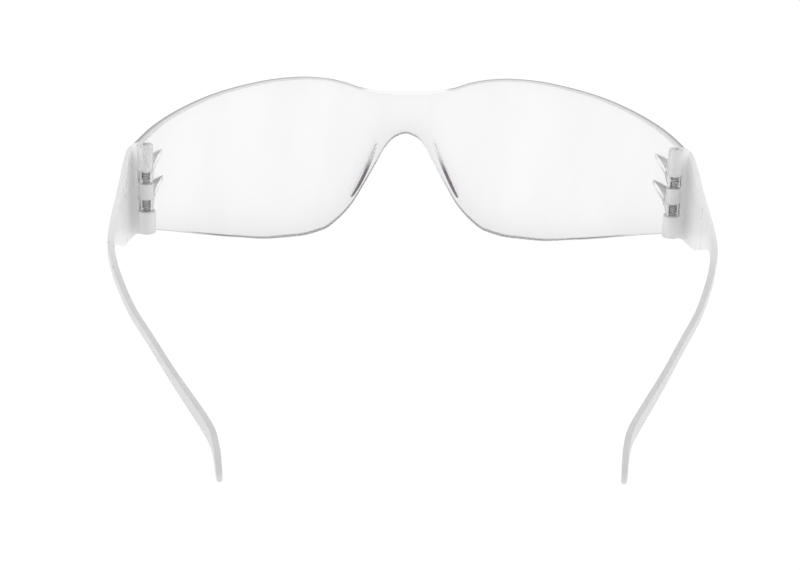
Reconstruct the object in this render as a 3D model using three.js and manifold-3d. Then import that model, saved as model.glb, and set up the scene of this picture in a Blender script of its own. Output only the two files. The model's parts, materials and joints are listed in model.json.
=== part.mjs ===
// Wraparound safety glasses: a one-piece clear lens, two frosted temples with side
// shields, and the two screws that the temples turn on.
//
// Millimetres. +X is the wearer's right, +Y points forward out through the lens and
// +Z is up. The origin is on the table, under the middle of the open glasses.

import * as THREE from 'three';
import { mergeVertices } from 'three/addons/utils/BufferGeometryUtils.js';
import Module from 'manifold-3d';

const wasm = await Module();
wasm.setup();

// ---------------------------------------------------------------- driving dimensions

// The whole object.
const HALF_LENGTH = 74;              // origin to the lens front, and to the temple tips
const GAP = 0.3;                     // air between pieces that touch or turn on each other
const OVERCUT = 1;                   // how far a cutting tool reaches past what it cuts
const MERGE_DISTANCE = 1e-4;

// The lens is a shell that is curved like a wide barrel.
const LENS_THICKNESS = 2.1;
const LENS_HALF_WIDTH = 70.4;
const WRAP_RADIUS = 70;              // curve of each eye's half, seen from above
const WRAP_CENTRE_X = 8;             // where each half's curve has its front
const BRIDGE_BLEND = 5;              // softens the valley where the two halves meet
const DROP_RADIUS = 110;             // curve of the lens, seen from the side
const DROP_CENTRE_Z = 22;
const LENS_ROWS = 8;                 // bands between the lower and the upper edge
const NOSE_ZONE = 17;                // fine columns this far out from the middle
const NOSE_STEP = 1;
const LOBE_STEP = 2.9;

// Height of the lens edges against the distance from the middle: [x, z].
const LENS_TOP = [
  [0, 39.3], [6.5, 39.5], [12, 40.4], [17, 42.3], [22, 43.6], [28, 44.4], [34, 44.6],
  [42, 44.2], [50, 43.4], [58, 41.9], [65, 39.8], [70.4, 36.9],
];
const LENS_BOTTOM = [
  [0, 27.6], [2.6, 26.6], [5.2, 23.7], [7.2, 19.9], [9.3, 15.9], [11.4, 12.1], [14, 7.9],
  [17.6, 4], [22, 1.1], [28.5, 0], [36, 0.3], [46, 2.6], [56, 6.4], [64, 10.6], [70.4, 14.8],
];

// The nose pads are fins that stand out from the back of the lens beside the arch.
const PAD_THICKNESS = 1.3;
const PAD_DEPTH = 5.4;               // at the middle of the pad
const PAD_ROOT = 0.7;                // how far the fin is sunk into the lens
const PAD_FLARE = 0.9;               // how far the free edge leans away from the nose
const PAD_TAPER = 0.7;               // thickness of the free edge against the root
const PAD_FULLNESS = 0.7;            // below 1 the crescent is fuller towards its ends
const PAD_TOP = [7.4, 25.2];         // upper end on the lens: [x, z]
const PAD_MIDDLE = [10.6, 17.6];
const PAD_BOTTOM = [14.4, 9.8];
const PAD_STEPS = 14;

// The hinge is a stack of three temple knuckles with two lens lugs between them.
const HINGE_X = 65.8;
const HINGE_Y = 29;
const STACK_TOP = 39.8;
const UPPER_LUG = [29.8, 32.7];      // from, to
const LOWER_LUG = [22.4, 25.3];
const STACK_BOTTOM = 16.4;
const KNUCKLE_RADIUS = 1.8;
const LOWER_KNUCKLE_RADIUS = 2.15;
const LUG_RADIUS = 1.55;
const ROUND_SEGMENTS = 24;

// The gusset that ties each lug to the lens, seen from above. It starts at the lug.
const GUSSET_OUTER = [[67.5, 29], [67.5, 37.6], [66, 40]];
const GUSSET_APEX = [62.4, 45];
const GUSSET_INNER = [[63.6, 38.7], [64.1, 33.5]];
const GUSSET_APEX_HEIGHT = 1.3;      // thickness of the gusset where it runs out
const GUSSET_RISE = 0.7;             // how far its upper face climbs towards the lens

// The screw.
const SCREW_RADIUS = 0.65;
const SCREW_HEAD_RADIUS = 0.95;
const SCREW_HEAD_HEIGHT = 0.9;
const SCREW_RECESS = 0.6;            // head top below the top of the stack
const SCREW_FOOT = 17.2;             // height of the screw's lower end
const SCREW_TIP_RADIUS = 0.45;
const SCREW_TIP_LENGTH = 0.6;
const DRIVE_SLOT_WIDTH = 0.35;
const DRIVE_SLOT_DEPTH = 0.35;

// The temple is a wall that follows a line from the hinge round the lens corner and
// back to the ear. Each station gives the middle of the wall seen from above, the
// heights of its upper and lower edges, and its thickness: [x, y, top, bottom, thick].
const TEMPLE_STATIONS = [
  [65.8, 29.0, 39.8, 15.8, 1.9],
  [67.5, 30.9, 39.5, 15.2, 1.8],
  [69.2, 32.0, 38.6, 14.4, 1.7],
  [70.2, 31.1, 37.0, 13.9, 1.6],
  [70.8, 27.5, 34.9, 14.2, 1.6],
  [71.4, 22.5, 32.2, 14.8, 1.6],
  [72.1, 16.5, 29.6, 17.2, 1.6],
  [72.7, 10.0, 27.1, 20.4, 1.7],
  [72.8, 3.0, 24.7, 20.9, 1.7],
  [71.8, -3.0, 22.9, 19.8, 1.6],
  [69.6, -11.5, 21.1, 18.2, 1.5],
  [66.0, -22.0, 18.6, 15.8, 1.4],
  [61.0, -33.0, 16.1, 13.2, 1.4],
  [55.5, -45.0, 13.3, 10.1, 1.4],
  [49.4, -57.0, 10.3, 6.3, 1.5],
  [46.2, -63.5, 8.3, 3.4, 1.5],
  [44.9, -68.0, 6.0, 1.0, 1.5],
  [44.4, -71.2, 4.0, 0, 1.45],
  [44.0, -74.0, 1.7, 0, 1.4],
];
const TEMPLE_STEPS = 72;
const TEMPLE_CHAMFER = 0.3;
const TANGENT_STEP = 0.002;          // share of the temple that its direction is taken over
const POCKET_REACH = 2.15;           // how far the lug pockets reach out from the axis
const POCKET_WIDTH = 5.4;            // across the glasses
const POCKET_LENGTH = 10.8;          // along them

// Finishes.
const CLEAR = { color: 0xf3f5f6, roughness: 0.04, metalness: 0 };
const FROSTED = { color: 0xdcddde, roughness: 0.5, metalness: 0 };
const STEEL = { color: 0x8f8b90, roughness: 0.3, metalness: 1 };

// ---------------------------------------------------------------------- shape tools

// A smooth curve through [x, value] pairs that doesn't overshoot them: the slope at
// each pair is the harmonic mean of its neighbours' slopes, and level at the ends.
function smoothCurve(pairs) {
  const rise = (i) => (pairs[i + 1][1] - pairs[i][1]) / (pairs[i + 1][0] - pairs[i][0]);
  const slopes = pairs.map((pair, i) => {
    if (i === 0) return 0;
    if (i === pairs.length - 1) return rise(i - 1);
    const before = rise(i - 1);
    const after = rise(i);
    return before * after > 0 ? (2 * before * after) / (before + after) : 0;
  });
  return (x) => {
    let i = 0;
    while (i < pairs.length - 2 && x > pairs[i + 1][0]) i += 1;
    const span = pairs[i + 1][0] - pairs[i][0];
    const t = Math.min(Math.max((x - pairs[i][0]) / span, 0), 1);
    const value = (1 + 2 * t) * (1 - t) ** 2 * pairs[i][1] + t * t * (3 - 2 * t) * pairs[i + 1][1];
    return value + t * (1 - t) ** 2 * span * slopes[i] - t * t * (1 - t) * span * slopes[i + 1];
  };
}

// Six times the volume inside a closed triangle mesh: negative when it is inside out.
function signedVolume(position, index) {
  const corner = (i) => new THREE.Vector3().fromBufferAttribute(position, index[i]);
  let sum = 0;
  for (let i = 0; i < index.length; i += 3) {
    sum += corner(i).dot(corner(i + 1).cross(corner(i + 2)));
  }
  return sum;
}

// A closed geometry from points and triangles, with its faces pointing out.
function closedGeometry(points, triangles) {
  const geometry = new THREE.BufferGeometry().setFromPoints(points);
  const outward = signedVolume(geometry.attributes.position, triangles) > 0;
  const index = outward ? triangles : [...triangles].reverse();
  geometry.setIndex(index);
  return geometry;
}

// Joins rings of points into a closed body. The second half of each ring runs back
// along the first, so each end is closed by rungs between the two halves.
function loft(rings) {
  const count = rings[0].length;
  const last = (rings.length - 1) * count;
  const triangles = [];
  const quad = (a, b, c, d) => triangles.push(a, b, c, a, c, d);
  for (let r = 0; r < rings.length - 1; r += 1) {
    for (let i = 0; i < count; i += 1) {
      const here = r * count;
      const next = (i + 1) % count;
      quad(here + i, here + next, here + count + next, here + count + i);
    }
  }
  for (let i = 0; i < count / 2 - 1; i += 1) {
    quad(count - 1 - i, count - 2 - i, i + 1, i);
    quad(last + i, last + i + 1, last + count - 2 - i, last + count - 1 - i);
  }
  return closedGeometry(rings.flat(), triangles);
}

// An upright cylinder around the right-hand hinge axis.
function hingeCylinder(radius, from, to) {
  const geometry = new THREE.CylinderGeometry(radius, radius, to - from, ROUND_SEGMENTS);
  geometry.rotateX(Math.PI / 2);
  return geometry.translate(HINGE_X, HINGE_Y, (from + to) / 2);
}

// The same geometry on the other side of the glasses, still with its faces out.
function mirrored(geometry) {
  const copy = geometry.clone();
  copy.scale(-1, 1, 1);
  const index = copy.index.array;
  for (let i = 0; i < index.length; i += 3) {
    [index[i], index[i + 1]] = [index[i + 1], index[i]];
  }
  return copy;
}

// A three.js geometry as a solid that can be joined and cut.
function solid(geometry) {
  const bare = geometry.clone();
  bare.deleteAttribute('normal');
  bare.deleteAttribute('uv');
  const merged = mergeVertices(bare, MERGE_DISTANCE);
  const mesh = new wasm.Mesh({
    numProp: 3,
    vertProperties: new Float32Array(merged.attributes.position.array),
    triVerts: new Uint32Array(merged.index.array),
  });
  return new wasm.Manifold(mesh);
}

// A solid as a three.js geometry.
function geometryOf(body) {
  const mesh = body.getMesh();
  const geometry = new THREE.BufferGeometry();
  geometry.setAttribute('position', new THREE.BufferAttribute(mesh.vertProperties, 3));
  geometry.setIndex(new THREE.BufferAttribute(mesh.triVerts, 1));
  return geometry;
}

// ----------------------------------------------------------------------------- lens

const lensTop = smoothCurve(LENS_TOP);
const lensBottom = smoothCurve(LENS_BOTTOM);

// How far along its own curve, sideways, a point of the lens lies.
const wrapReach = (x) => Math.hypot(x, BRIDGE_BLEND) - WRAP_CENTRE_X;

// A point on the front of the lens.
function lensFront(x, z) {
  const wrap = WRAP_RADIUS - Math.sqrt(WRAP_RADIUS ** 2 - wrapReach(x) ** 2);
  const drop = DROP_RADIUS - Math.sqrt(DROP_RADIUS ** 2 - (z - DROP_CENTRE_Z) ** 2);
  return new THREE.Vector3(x, HALF_LENGTH - wrap - drop, z);
}

// The direction out through the front of the lens, seen from above.
function lensOutward(x) {
  const reach = wrapReach(x);
  const slope = (reach / Math.sqrt(WRAP_RADIUS ** 2 - reach ** 2)) * (x / Math.hypot(x, BRIDGE_BLEND));
  return new THREE.Vector3(slope, 1, 0).normalize();
}

// A point at a depth behind the front of the lens.
function behindLens(x, z, depth) {
  return lensFront(x, z).addScaledVector(lensOutward(x), -depth);
}

// One upright strip of the lens: up the front face and down the back face.
function lensRing(x) {
  const bottom = lensBottom(Math.abs(x));
  const top = lensTop(Math.abs(x));
  const heights = [];
  for (let i = 0; i <= LENS_ROWS; i += 1) {
    heights.push(THREE.MathUtils.lerp(bottom, top, i / LENS_ROWS));
  }
  const front = heights.map((z) => behindLens(x, z, 0));
  const back = heights.map((z) => behindLens(x, z, LENS_THICKNESS));
  return [...front, ...back.reverse()];
}

// Where the strips stand on the right-hand half of the lens, from the middle outwards.
function lensColumns() {
  const columns = [];
  for (let x = NOSE_STEP; x <= NOSE_ZONE; x += NOSE_STEP) columns.push(x);
  const count = Math.round((LENS_HALF_WIDTH - NOSE_ZONE) / LOBE_STEP);
  for (let i = 1; i <= count; i += 1) {
    columns.push(THREE.MathUtils.lerp(NOSE_ZONE, LENS_HALF_WIDTH, i / count));
  }
  return columns;
}

function lensShell() {
  const right = lensColumns();
  const left = right.map((x) => -x).reverse();
  return loft([...left, 0, ...right].map(lensRing));
}

// The fin of the right-hand nose pad: a crescent that is deepest at its middle.
function nosePad() {
  const line = new THREE.QuadraticBezierCurve(
    new THREE.Vector2(...PAD_TOP),
    new THREE.Vector2(...PAD_MIDDLE),
    new THREE.Vector2(...PAD_BOTTOM),
  );
  const rings = [];
  for (let i = 0; i <= PAD_STEPS; i += 1) {
    const t = i / PAD_STEPS;
    const { x, y: z } = line.getPoint(t);
    const swell = Math.sin(Math.PI * t) ** PAD_FULLNESS;
    const depth = THREE.MathUtils.lerp(PAD_ROOT, PAD_DEPTH + PAD_ROOT, swell);
    const lean = PAD_FLARE * swell;
    const root = behindLens(x, z, LENS_THICKNESS - PAD_ROOT);
    const half = PAD_THICKNESS / 2;
    const free = half * PAD_TAPER;
    const corner = (across, back) => root.clone().add(new THREE.Vector3(across, -back, 0));
    rings.push([
      corner(-half, 0), corner(lean - free, depth), corner(lean + free, depth), corner(half, 0),
    ]);
  }
  return loft(rings);
}

// The plate that ties one right-hand lug to the back of the lens. It gets thinner
// from the lug to its tip, and its upper face climbs a little.
function gusset([from, to]) {
  const outline = new THREE.Shape();
  outline.moveTo(...GUSSET_OUTER[0]);
  GUSSET_OUTER.slice(1).forEach((point) => outline.lineTo(...point));
  outline.lineTo(...GUSSET_APEX);
  outline.splineThru([...GUSSET_INNER, [HINGE_X - LUG_RADIUS, HINGE_Y]]
    .map((point) => new THREE.Vector2(...point)));
  const plate = new THREE.ExtrudeGeometry(outline, {
    depth: to - from, bevelEnabled: false, curveSegments: 4,
  });
  plate.translate(0, 0, from);
  const position = plate.attributes.position;
  for (let i = 0; i < position.count; i += 1) {
    const onUnderside = position.getZ(i) < (from + to) / 2;
    const reach = (position.getY(i) - HINGE_Y) / (GUSSET_APEX[1] - HINGE_Y);
    const height = THREE.MathUtils.lerp(to - from, GUSSET_APEX_HEIGHT, reach);
    const top = to + GUSSET_RISE * reach;
    position.setZ(i, onUnderside ? top - height : top);
  }
  return plate;
}

function lensGeometry() {
  let features = solid(nosePad());
  for (const lug of [UPPER_LUG, LOWER_LUG]) {
    features = features.add(solid(gusset(lug))).add(solid(hingeCylinder(LUG_RADIUS, ...lug)));
  }
  const bore = solid(hingeCylinder(SCREW_RADIUS + GAP, STACK_BOTTOM, STACK_TOP));
  const right = geometryOf(features.subtract(bore));
  return geometryOf(solid(lensShell()).add(solid(right)).add(solid(mirrored(right))));
}

// --------------------------------------------------------------------------- temple

// The values of all the columns of TEMPLE_STATIONS at any place along the temple.
function templeAt(t) {
  const place = t * (TEMPLE_STATIONS.length - 1);
  const i = Math.min(Math.floor(place), TEMPLE_STATIONS.length - 2);
  const station = (k) => TEMPLE_STATIONS[THREE.MathUtils.clamp(k, 0, TEMPLE_STATIONS.length - 1)];
  const [a, b, c, d] = [i - 1, i, i + 1, i + 2].map(station);
  const u = place - i;
  return b.map((value, column) => 0.5 * (
    2 * value
    + u * (c[column] - a[column])
    + u * u * (2 * a[column] - 5 * value + 4 * c[column] - d[column])
    + u * u * u * (3 * value - a[column] - 3 * c[column] + d[column])
  ));
}

// One section of the temple's wall: a rectangle with its corners cut off.
function templeRing(t) {
  const [x, y, top, low, thickness] = templeAt(t);
  const bottom = Math.max(low, 0);
  const [x0, y0] = templeAt(Math.max(t - TANGENT_STEP, 0));
  const [x1, y1] = templeAt(Math.min(t + TANGENT_STEP, 1));
  const across = new THREE.Vector3(y0 - y1, x1 - x0, 0).normalize();
  const half = thickness / 2;
  const cut = TEMPLE_CHAMFER;
  const side = (sign) => [
    [half - cut, bottom], [half, bottom + cut], [half, top - cut], [half - cut, top],
  ].map(([reach, z]) => new THREE.Vector3(x, y, z).addScaledVector(across, sign * reach));
  return [...side(1), ...side(-1).reverse()];
}

// The room that a lens lug and its gusset need in the temple's wall.
function lugPocket([from, to]) {
  const height = to - from + GAP * 2;
  const box = new THREE.BoxGeometry(POCKET_WIDTH, POCKET_LENGTH, height);
  const middle = HINGE_X + POCKET_REACH - POCKET_WIDTH / 2;
  return solid(box.translate(middle, HINGE_Y, (from + to) / 2));
}

function templeGeometry() {
  const rings = [];
  for (let i = 0; i <= TEMPLE_STEPS; i += 1) rings.push(templeRing(i / TEMPLE_STEPS));
  const wall = solid(loft(rings));
  const knuckles = [
    [KNUCKLE_RADIUS, UPPER_LUG[1] + GAP, STACK_TOP],
    [KNUCKLE_RADIUS, LOWER_LUG[1] + GAP, UPPER_LUG[0] - GAP],
    [LOWER_KNUCKLE_RADIUS, STACK_BOTTOM, LOWER_LUG[0] - GAP],
  ].map((sizes) => solid(hingeCylinder(...sizes)));
  const headSeat = STACK_TOP - SCREW_RECESS - SCREW_HEAD_HEIGHT - GAP;
  const cuts = [
    solid(hingeCylinder(SCREW_RADIUS + GAP, SCREW_FOOT - GAP, STACK_TOP + OVERCUT)),
    solid(hingeCylinder(SCREW_HEAD_RADIUS + GAP, headSeat, STACK_TOP + OVERCUT)),
  ];
  let temple = wall.subtract(lugPocket(UPPER_LUG)).subtract(lugPocket(LOWER_LUG));
  knuckles.forEach((knuckle) => { temple = temple.add(knuckle); });
  cuts.forEach((cut) => { temple = temple.subtract(cut); });
  return geometryOf(temple);
}

// ---------------------------------------------------------------------------- screw

function screwGeometry() {
  const top = STACK_TOP - SCREW_RECESS;
  const profile = [
    [0, SCREW_FOOT],
    [SCREW_TIP_RADIUS, SCREW_FOOT],
    [SCREW_RADIUS, SCREW_FOOT + SCREW_TIP_LENGTH],
    [SCREW_RADIUS, top - SCREW_HEAD_HEIGHT],
    [SCREW_HEAD_RADIUS, top - SCREW_HEAD_HEIGHT],
    [SCREW_HEAD_RADIUS, top],
    [0, top],
  ].map(([radius, z]) => new THREE.Vector2(radius, z));
  const turned = new THREE.LatheGeometry(profile, ROUND_SEGMENTS);
  turned.rotateX(Math.PI / 2);
  turned.translate(HINGE_X, HINGE_Y, 0);
  const slot = new THREE.BoxGeometry(SCREW_HEAD_RADIUS * 3, DRIVE_SLOT_WIDTH, DRIVE_SLOT_DEPTH * 2);
  slot.translate(HINGE_X, HINGE_Y, top);
  return geometryOf(solid(turned).subtract(solid(slot)));
}

// -------------------------------------------------------------------------- assembly

function part(name, geometry, finish) {
  geometry.computeVertexNormals();
  const mesh = new THREE.Mesh(geometry, new THREE.MeshStandardMaterial(finish));
  mesh.name = name;
  return mesh;
}

const glasses = new THREE.Group();
const rightTemple = templeGeometry();
const rightScrew = screwGeometry();
glasses.add(part('lens', lensGeometry(), CLEAR));
glasses.add(part('right_temple', rightTemple, FROSTED));
glasses.add(part('left_temple', mirrored(rightTemple), FROSTED));
glasses.add(part('right_hinge_screw', rightScrew, STEEL));
glasses.add(part('left_hinge_screw', mirrored(rightScrew), STEEL));

export default glasses;
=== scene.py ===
"""Clear wraparound safety glasses with frosted folding temples.

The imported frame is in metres: +X is the wearer's right, +Y points forward out through
the lens and +Z is up. The pieces are shaped in millimetres and brought to metres last.
"""

import json
import logging
import math
from collections.abc import Callable
from dataclasses import dataclass
from enum import Enum

import bmesh
import bpy
from bmesh.types import BMesh, BMEdge, BMVert
from mathutils import Matrix, Vector


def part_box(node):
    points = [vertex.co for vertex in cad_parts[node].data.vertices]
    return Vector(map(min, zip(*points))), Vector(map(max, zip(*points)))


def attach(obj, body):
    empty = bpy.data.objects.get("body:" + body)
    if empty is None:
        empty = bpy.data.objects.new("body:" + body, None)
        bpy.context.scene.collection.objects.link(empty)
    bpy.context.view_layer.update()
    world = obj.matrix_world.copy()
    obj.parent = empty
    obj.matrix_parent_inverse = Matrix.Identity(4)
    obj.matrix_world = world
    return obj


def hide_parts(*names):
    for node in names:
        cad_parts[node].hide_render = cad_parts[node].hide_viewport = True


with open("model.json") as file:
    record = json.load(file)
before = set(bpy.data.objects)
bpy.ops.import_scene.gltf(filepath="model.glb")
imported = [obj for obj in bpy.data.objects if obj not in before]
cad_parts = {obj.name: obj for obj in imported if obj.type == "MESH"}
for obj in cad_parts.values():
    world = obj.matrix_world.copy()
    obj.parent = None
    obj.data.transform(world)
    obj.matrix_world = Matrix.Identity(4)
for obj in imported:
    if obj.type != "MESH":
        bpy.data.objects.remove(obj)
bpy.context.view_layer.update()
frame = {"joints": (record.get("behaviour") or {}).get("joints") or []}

MM = 0.001
# painted shade: how far a spot's colour is pushed towards a dark colour, carried by the mesh
PAINTED_SHADE = "painted_shade"
MATTE = "edge_matte"
LOG = logging.getLogger("glasses")

# how many facets round shapes have
ROUND_STEPS = 4
RIM_STEPS = 3
DRUM_SIDES = 48
THREAD_SIDES = 32

# where a thread's tooth starts, leaves the core, reaches its crest and leaves it, as shares
# of the pitch
THREAD_TOOTH = (0.0, 0.3, 0.52, 0.78)

# how far apart two points are that give a line's slope, how far a cutter goes past what
# it cuts, and how near to a surface counts as on it, in millimetres
SLOPE_STEP = 0.2
PAST = 1.0
NEAR = 0.02

# how close together two points are made one
MERGE_IN_MM = 1e-3
MERGE_IN_METRES = 1e-7

# where a noise's values mostly lie, and the angle in degrees past which an edge is sharp
NOISE_RANGE = (0.3, 0.7)
CREASE_ANGLE = 50.0

Pair = tuple[float, float]
Pairs = tuple[Pair, ...]
Colour = tuple[float, ...]
Stretch = tuple[float, float, float]
PointAndWay = tuple[Vector, Vector]


class Joining(Enum):
    """How one solid is put together with another."""

    ADD = "UNION"
    CUT = "DIFFERENCE"


# ------------------------------------------------------------------------ shape tools


def blend_between(low: float, high: float, share: float) -> float:
    """Return the value that lies share of the way from low to high."""
    return low + (high - low) * share


def eased(share: float) -> float:
    """Return share, held between 0 and 1, with a soft start and a soft stop."""
    held = min(max(share, 0.0), 1.0)
    return held * held * (3 - 2 * held)


@dataclass(frozen=True)
class EdgeLine:
    """A smooth line through (place, value) pairs that never overshoots them."""

    pairs: Pairs

    def rise(self, index: int) -> float:
        """Return the slope of the straight run that starts at one pair."""
        (x0, v0), (x1, v1) = self.pairs[index], self.pairs[index + 1]
        return (v1 - v0) / (x1 - x0)

    def slope(self, index: int) -> float:
        """Return the slope of the line at one of its pairs.

        Args:
            index: Which pair.

        Returns:
            The harmonic mean of the two runs beside it, but level at the start and as
            steep as the last run at the end.
        """
        if index == 0:
            return 0.0
        if index == len(self.pairs) - 1:
            return self.rise(index - 1)
        before, after = self.rise(index - 1), self.rise(index)
        return 2 * before * after / (before + after) if before * after > 0 else 0.0

    def at(self, place: float) -> float:
        """Return the line's value at a place.

        Args:
            place: Where along the line, in millimetres.

        Returns:
            The value there.
        """
        last = len(self.pairs) - 2
        index = 0
        while index < last and place > self.pairs[index + 1][0]:
            index += 1
        (x0, v0), (x1, v1) = self.pairs[index], self.pairs[index + 1]
        span = x1 - x0
        t = min(max((place - x0) / span, 0.0), 1.0)
        value = (1 + 2 * t) * (1 - t) ** 2 * v0 + t * t * (3 - 2 * t) * v1
        value += t * (1 - t) ** 2 * span * self.slope(index)
        return value - t * t * (1 - t) * span * self.slope(index + 1)

    def steepness(self, place: float) -> float:
        """Return how steeply the line runs just past a place."""
        return (self.at(place + SLOPE_STEP) - self.at(place)) / SLOPE_STEP


def edge_round(step: int, last: int, radius: float) -> Pair:
    """Place a row of a wall's skin on the rounding of the wall's edge.

    Args:
        step: Which row, counted from one edge.
        last: The number of the row on the other edge.
        radius: The radius of the rounding.

    Returns:
        How far the row lies in from the edge, and how far the skin sinks there.
    """
    angle = min(step, last - step, ROUND_STEPS) / ROUND_STEPS * math.pi / 2
    return radius * (1 - math.cos(angle)), radius * (1 - math.sin(angle))


def edge_place(step: int, last: int, low: float, high: float) -> float:
    """Place a row of a wall's skin between the roundings of two edges.

    Args:
        step: Which row, counted from the low edge.
        last: The number of the row on the high edge.
        low: Where a row of the low edge's rounding is, or else where the rounding ends.
        high: The same for the high edge.

    Returns:
        Where the row is.
    """
    share = (step - ROUND_STEPS) / (last - 2 * ROUND_STEPS)
    return blend_between(low, high, min(max(share, 0), 1))


def moulded_wall(
    columns: int, rows: int, section: Callable[[int, int], PointAndWay]
) -> BMesh:
    """Make a closed wall of quads between two skins.

    Args:
        columns: How many quads lie side by side.
        rows: How many quads lie one above the other.
        section: Gives, for a column and a row, the front skin's point and the way from
            it to the back skin.

    Returns:
        The wall, with its faces pointing out.
    """
    wall = bmesh.new()
    bmesh.ops.create_grid(wall, x_segments=columns, y_segments=rows, size=1)
    ways: dict[tuple[float, ...], Vector] = {}
    for vert in wall.verts:
        column = round((vert.co.x + 1) / 2 * columns)
        row = round((vert.co.y + 1) / 2 * rows)
        vert.co, way = section(column, row)
        ways[vert.co.to_tuple(4)] = way
    made = bmesh.ops.extrude_face_region(wall, geom=wall.faces[:], use_keep_orig=True)
    for vert in (item for item in made["geom"] if isinstance(item, BMVert)):
        vert.co += ways[vert.co.to_tuple(4)]
    bmesh.ops.recalc_face_normals(wall, faces=wall.faces[:])
    return wall


def level_edges(mesh: BMesh, rise: float) -> list[BMEdge]:
    """Return the edges of a mesh that climb less than a given rise."""
    return [e for e in mesh.edges if abs(e.verts[0].co.z - e.verts[1].co.z) < rise]


def softened(mesh: BMesh, edges: list[BMEdge], reach: float, steps: int) -> None:
    """Round some edges of a mesh off.

    Args:
        mesh: The mesh, which is changed.
        edges: The edges to round.
        reach: How far the rounding reaches to each side, in millimetres.
        steps: How many facets make it.
    """
    bmesh.ops.bevel(
        mesh,
        geom=edges,
        offset=reach,
        offset_type="OFFSET",
        segments=steps,
        profile=0.5,
        affect="EDGES",
        clamp_overlap=True,
        material=-1,
    )


def drum(
    centre: Vector, radius: float, low: float, high: float, rounding: float = 0.0
) -> BMesh:
    """Make an upright cylinder.

    Args:
        centre: A point on its axis.
        radius: Its radius.
        low: The height of its lower end.
        high: The height of its upper end.
        rounding: How far its two rims are rounded off.

    Returns:
        The cylinder as a closed mesh.
    """
    mesh = bmesh.new()
    middle = Matrix.Translation((centre.x, centre.y, (low + high) / 2))
    bmesh.ops.create_cone(
        mesh,
        cap_ends=True,
        segments=DRUM_SIDES,
        radius1=radius,
        radius2=radius,
        depth=high - low,
        matrix=middle,
    )
    if rounding:
        softened(mesh, level_edges(mesh, rounding / 2), rounding, RIM_STEPS)
    return mesh


def block(low: Vector, high: Vector) -> BMesh:
    """Make a box.

    Args:
        low: Its corner with the lowest values.
        high: Its corner with the highest values.

    Returns:
        The box as a closed mesh.
    """
    mesh = bmesh.new()
    size = Matrix.Diagonal((*(high - low), 1))
    bmesh.ops.create_cube(mesh, size=1, matrix=Matrix.Translation((low + high) / 2) @ size)
    return mesh


def plate(outline: Pairs, low: float, high: float) -> BMesh:
    """Make a flat plate from its outline seen from above.

    Args:
        outline: The corners in order.
        low: The height of its underside.
        high: The height of its upper side.

    Returns:
        The plate as a closed mesh.
    """
    mesh = bmesh.new()
    base = mesh.faces.new([mesh.verts.new((x, y, low)) for x, y in outline])
    made = bmesh.ops.extrude_face_region(mesh, geom=[base], use_keep_orig=True)
    lifted = [item for item in made["geom"] if isinstance(item, BMVert)]
    bmesh.ops.translate(mesh, verts=lifted, vec=(0, 0, high - low))
    bmesh.ops.recalc_face_normals(mesh, faces=mesh.faces[:])
    return mesh


def threaded_rod(
    centre: Vector, core: float, crest: float, pitch: float, ends: Pair
) -> BMesh:
    """Turn an upright threaded rod.

    Args:
        centre: A point on its axis.
        core: Its radius between the threads.
        crest: Its radius on the threads.
        pitch: How far it climbs in one turn.
        ends: The heights of its lower and upper ends.

    Returns:
        The rod as a closed mesh. Rods of one pitch on one axis have their threads in line.
    """
    low, high = ends
    mesh = bmesh.new()
    tooth = tuple(zip(THREAD_TOOTH, (core, core, crest, crest)))
    line = []
    for turn in range(math.floor(low / pitch) - 1, math.ceil(high / pitch) + 1):
        for share, radius in tooth:
            height = (turn + share) * pitch
            line.append(mesh.verts.new((centre.x + radius, centre.y, height)))
    edges = [mesh.edges.new(pair) for pair in zip(line, line[1:])]
    bmesh.ops.spin(
        mesh,
        geom=line + edges,
        cent=centre,
        axis=(0, 0, 1),
        dvec=(0, 0, pitch / THREAD_SIDES),
        angle=math.tau,
        steps=THREAD_SIDES,
        use_merge=False,
    )
    bmesh.ops.remove_doubles(mesh, verts=mesh.verts[:], dist=MERGE_IN_MM)
    for height in ends:
        bmesh.ops.bisect_plane(
            mesh,
            geom=mesh.verts[:] + mesh.edges[:] + mesh.faces[:],
            plane_co=(0, 0, height),
            plane_no=(0, 0, 1),
            clear_inner=height == low,
            clear_outer=height == high,
        )
    bmesh.ops.holes_fill(mesh, edges=[e for e in mesh.edges if e.is_boundary])
    bmesh.ops.recalc_face_normals(mesh, faces=mesh.faces[:])
    return mesh


def mirrored(mesh: BMesh) -> BMesh:
    """Make a mesh for the other side of the glasses.

    Args:
        mesh: The mesh, which stays as it is.

    Returns:
        Its mirror image, with its faces pointing out.
    """
    twin = mesh.copy()
    bmesh.ops.scale(twin, vec=(-1, 1, 1), verts=twin.verts[:])
    bmesh.ops.recalc_face_normals(twin, faces=twin.faces[:])
    return twin


def as_object(name: str, mesh: BMesh) -> bpy.types.Object:
    """Put a mesh into the scene.

    Args:
        name: The name of the new object.
        mesh: Its shape. It is freed.

    Returns:
        The object.
    """
    data = bpy.data.meshes.new(name)
    mesh.to_mesh(data)
    mesh.free()
    thing = bpy.data.objects.new(name, data)
    bpy.context.scene.collection.objects.link(thing)
    return thing


def joined(base: BMesh, tool: BMesh, how: Joining) -> BMesh:
    """Add one closed mesh to another, or cut it out of it.

    Args:
        base: The solid that is changed. It is freed.
        tool: The solid that is added or cut out. It is freed.
        how: Which of the two.

    Returns:
        The new solid.
    """
    body, cutter = as_object("working_body", base), as_object("working_tool", tool)
    modifier = body.modifiers.new(how.name, "BOOLEAN")
    modifier.operation = how.value
    modifier.solver = "EXACT"
    modifier.object = cutter
    graph = bpy.context.evaluated_depsgraph_get()
    result = bmesh.new()
    result.from_mesh(body.evaluated_get(graph).to_mesh())
    for thing in (body, cutter):
        data = thing.data
        bpy.data.objects.remove(thing)
        bpy.data.meshes.remove(data)
    return result


# --------------------------------------------------------------------------- finishes


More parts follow.
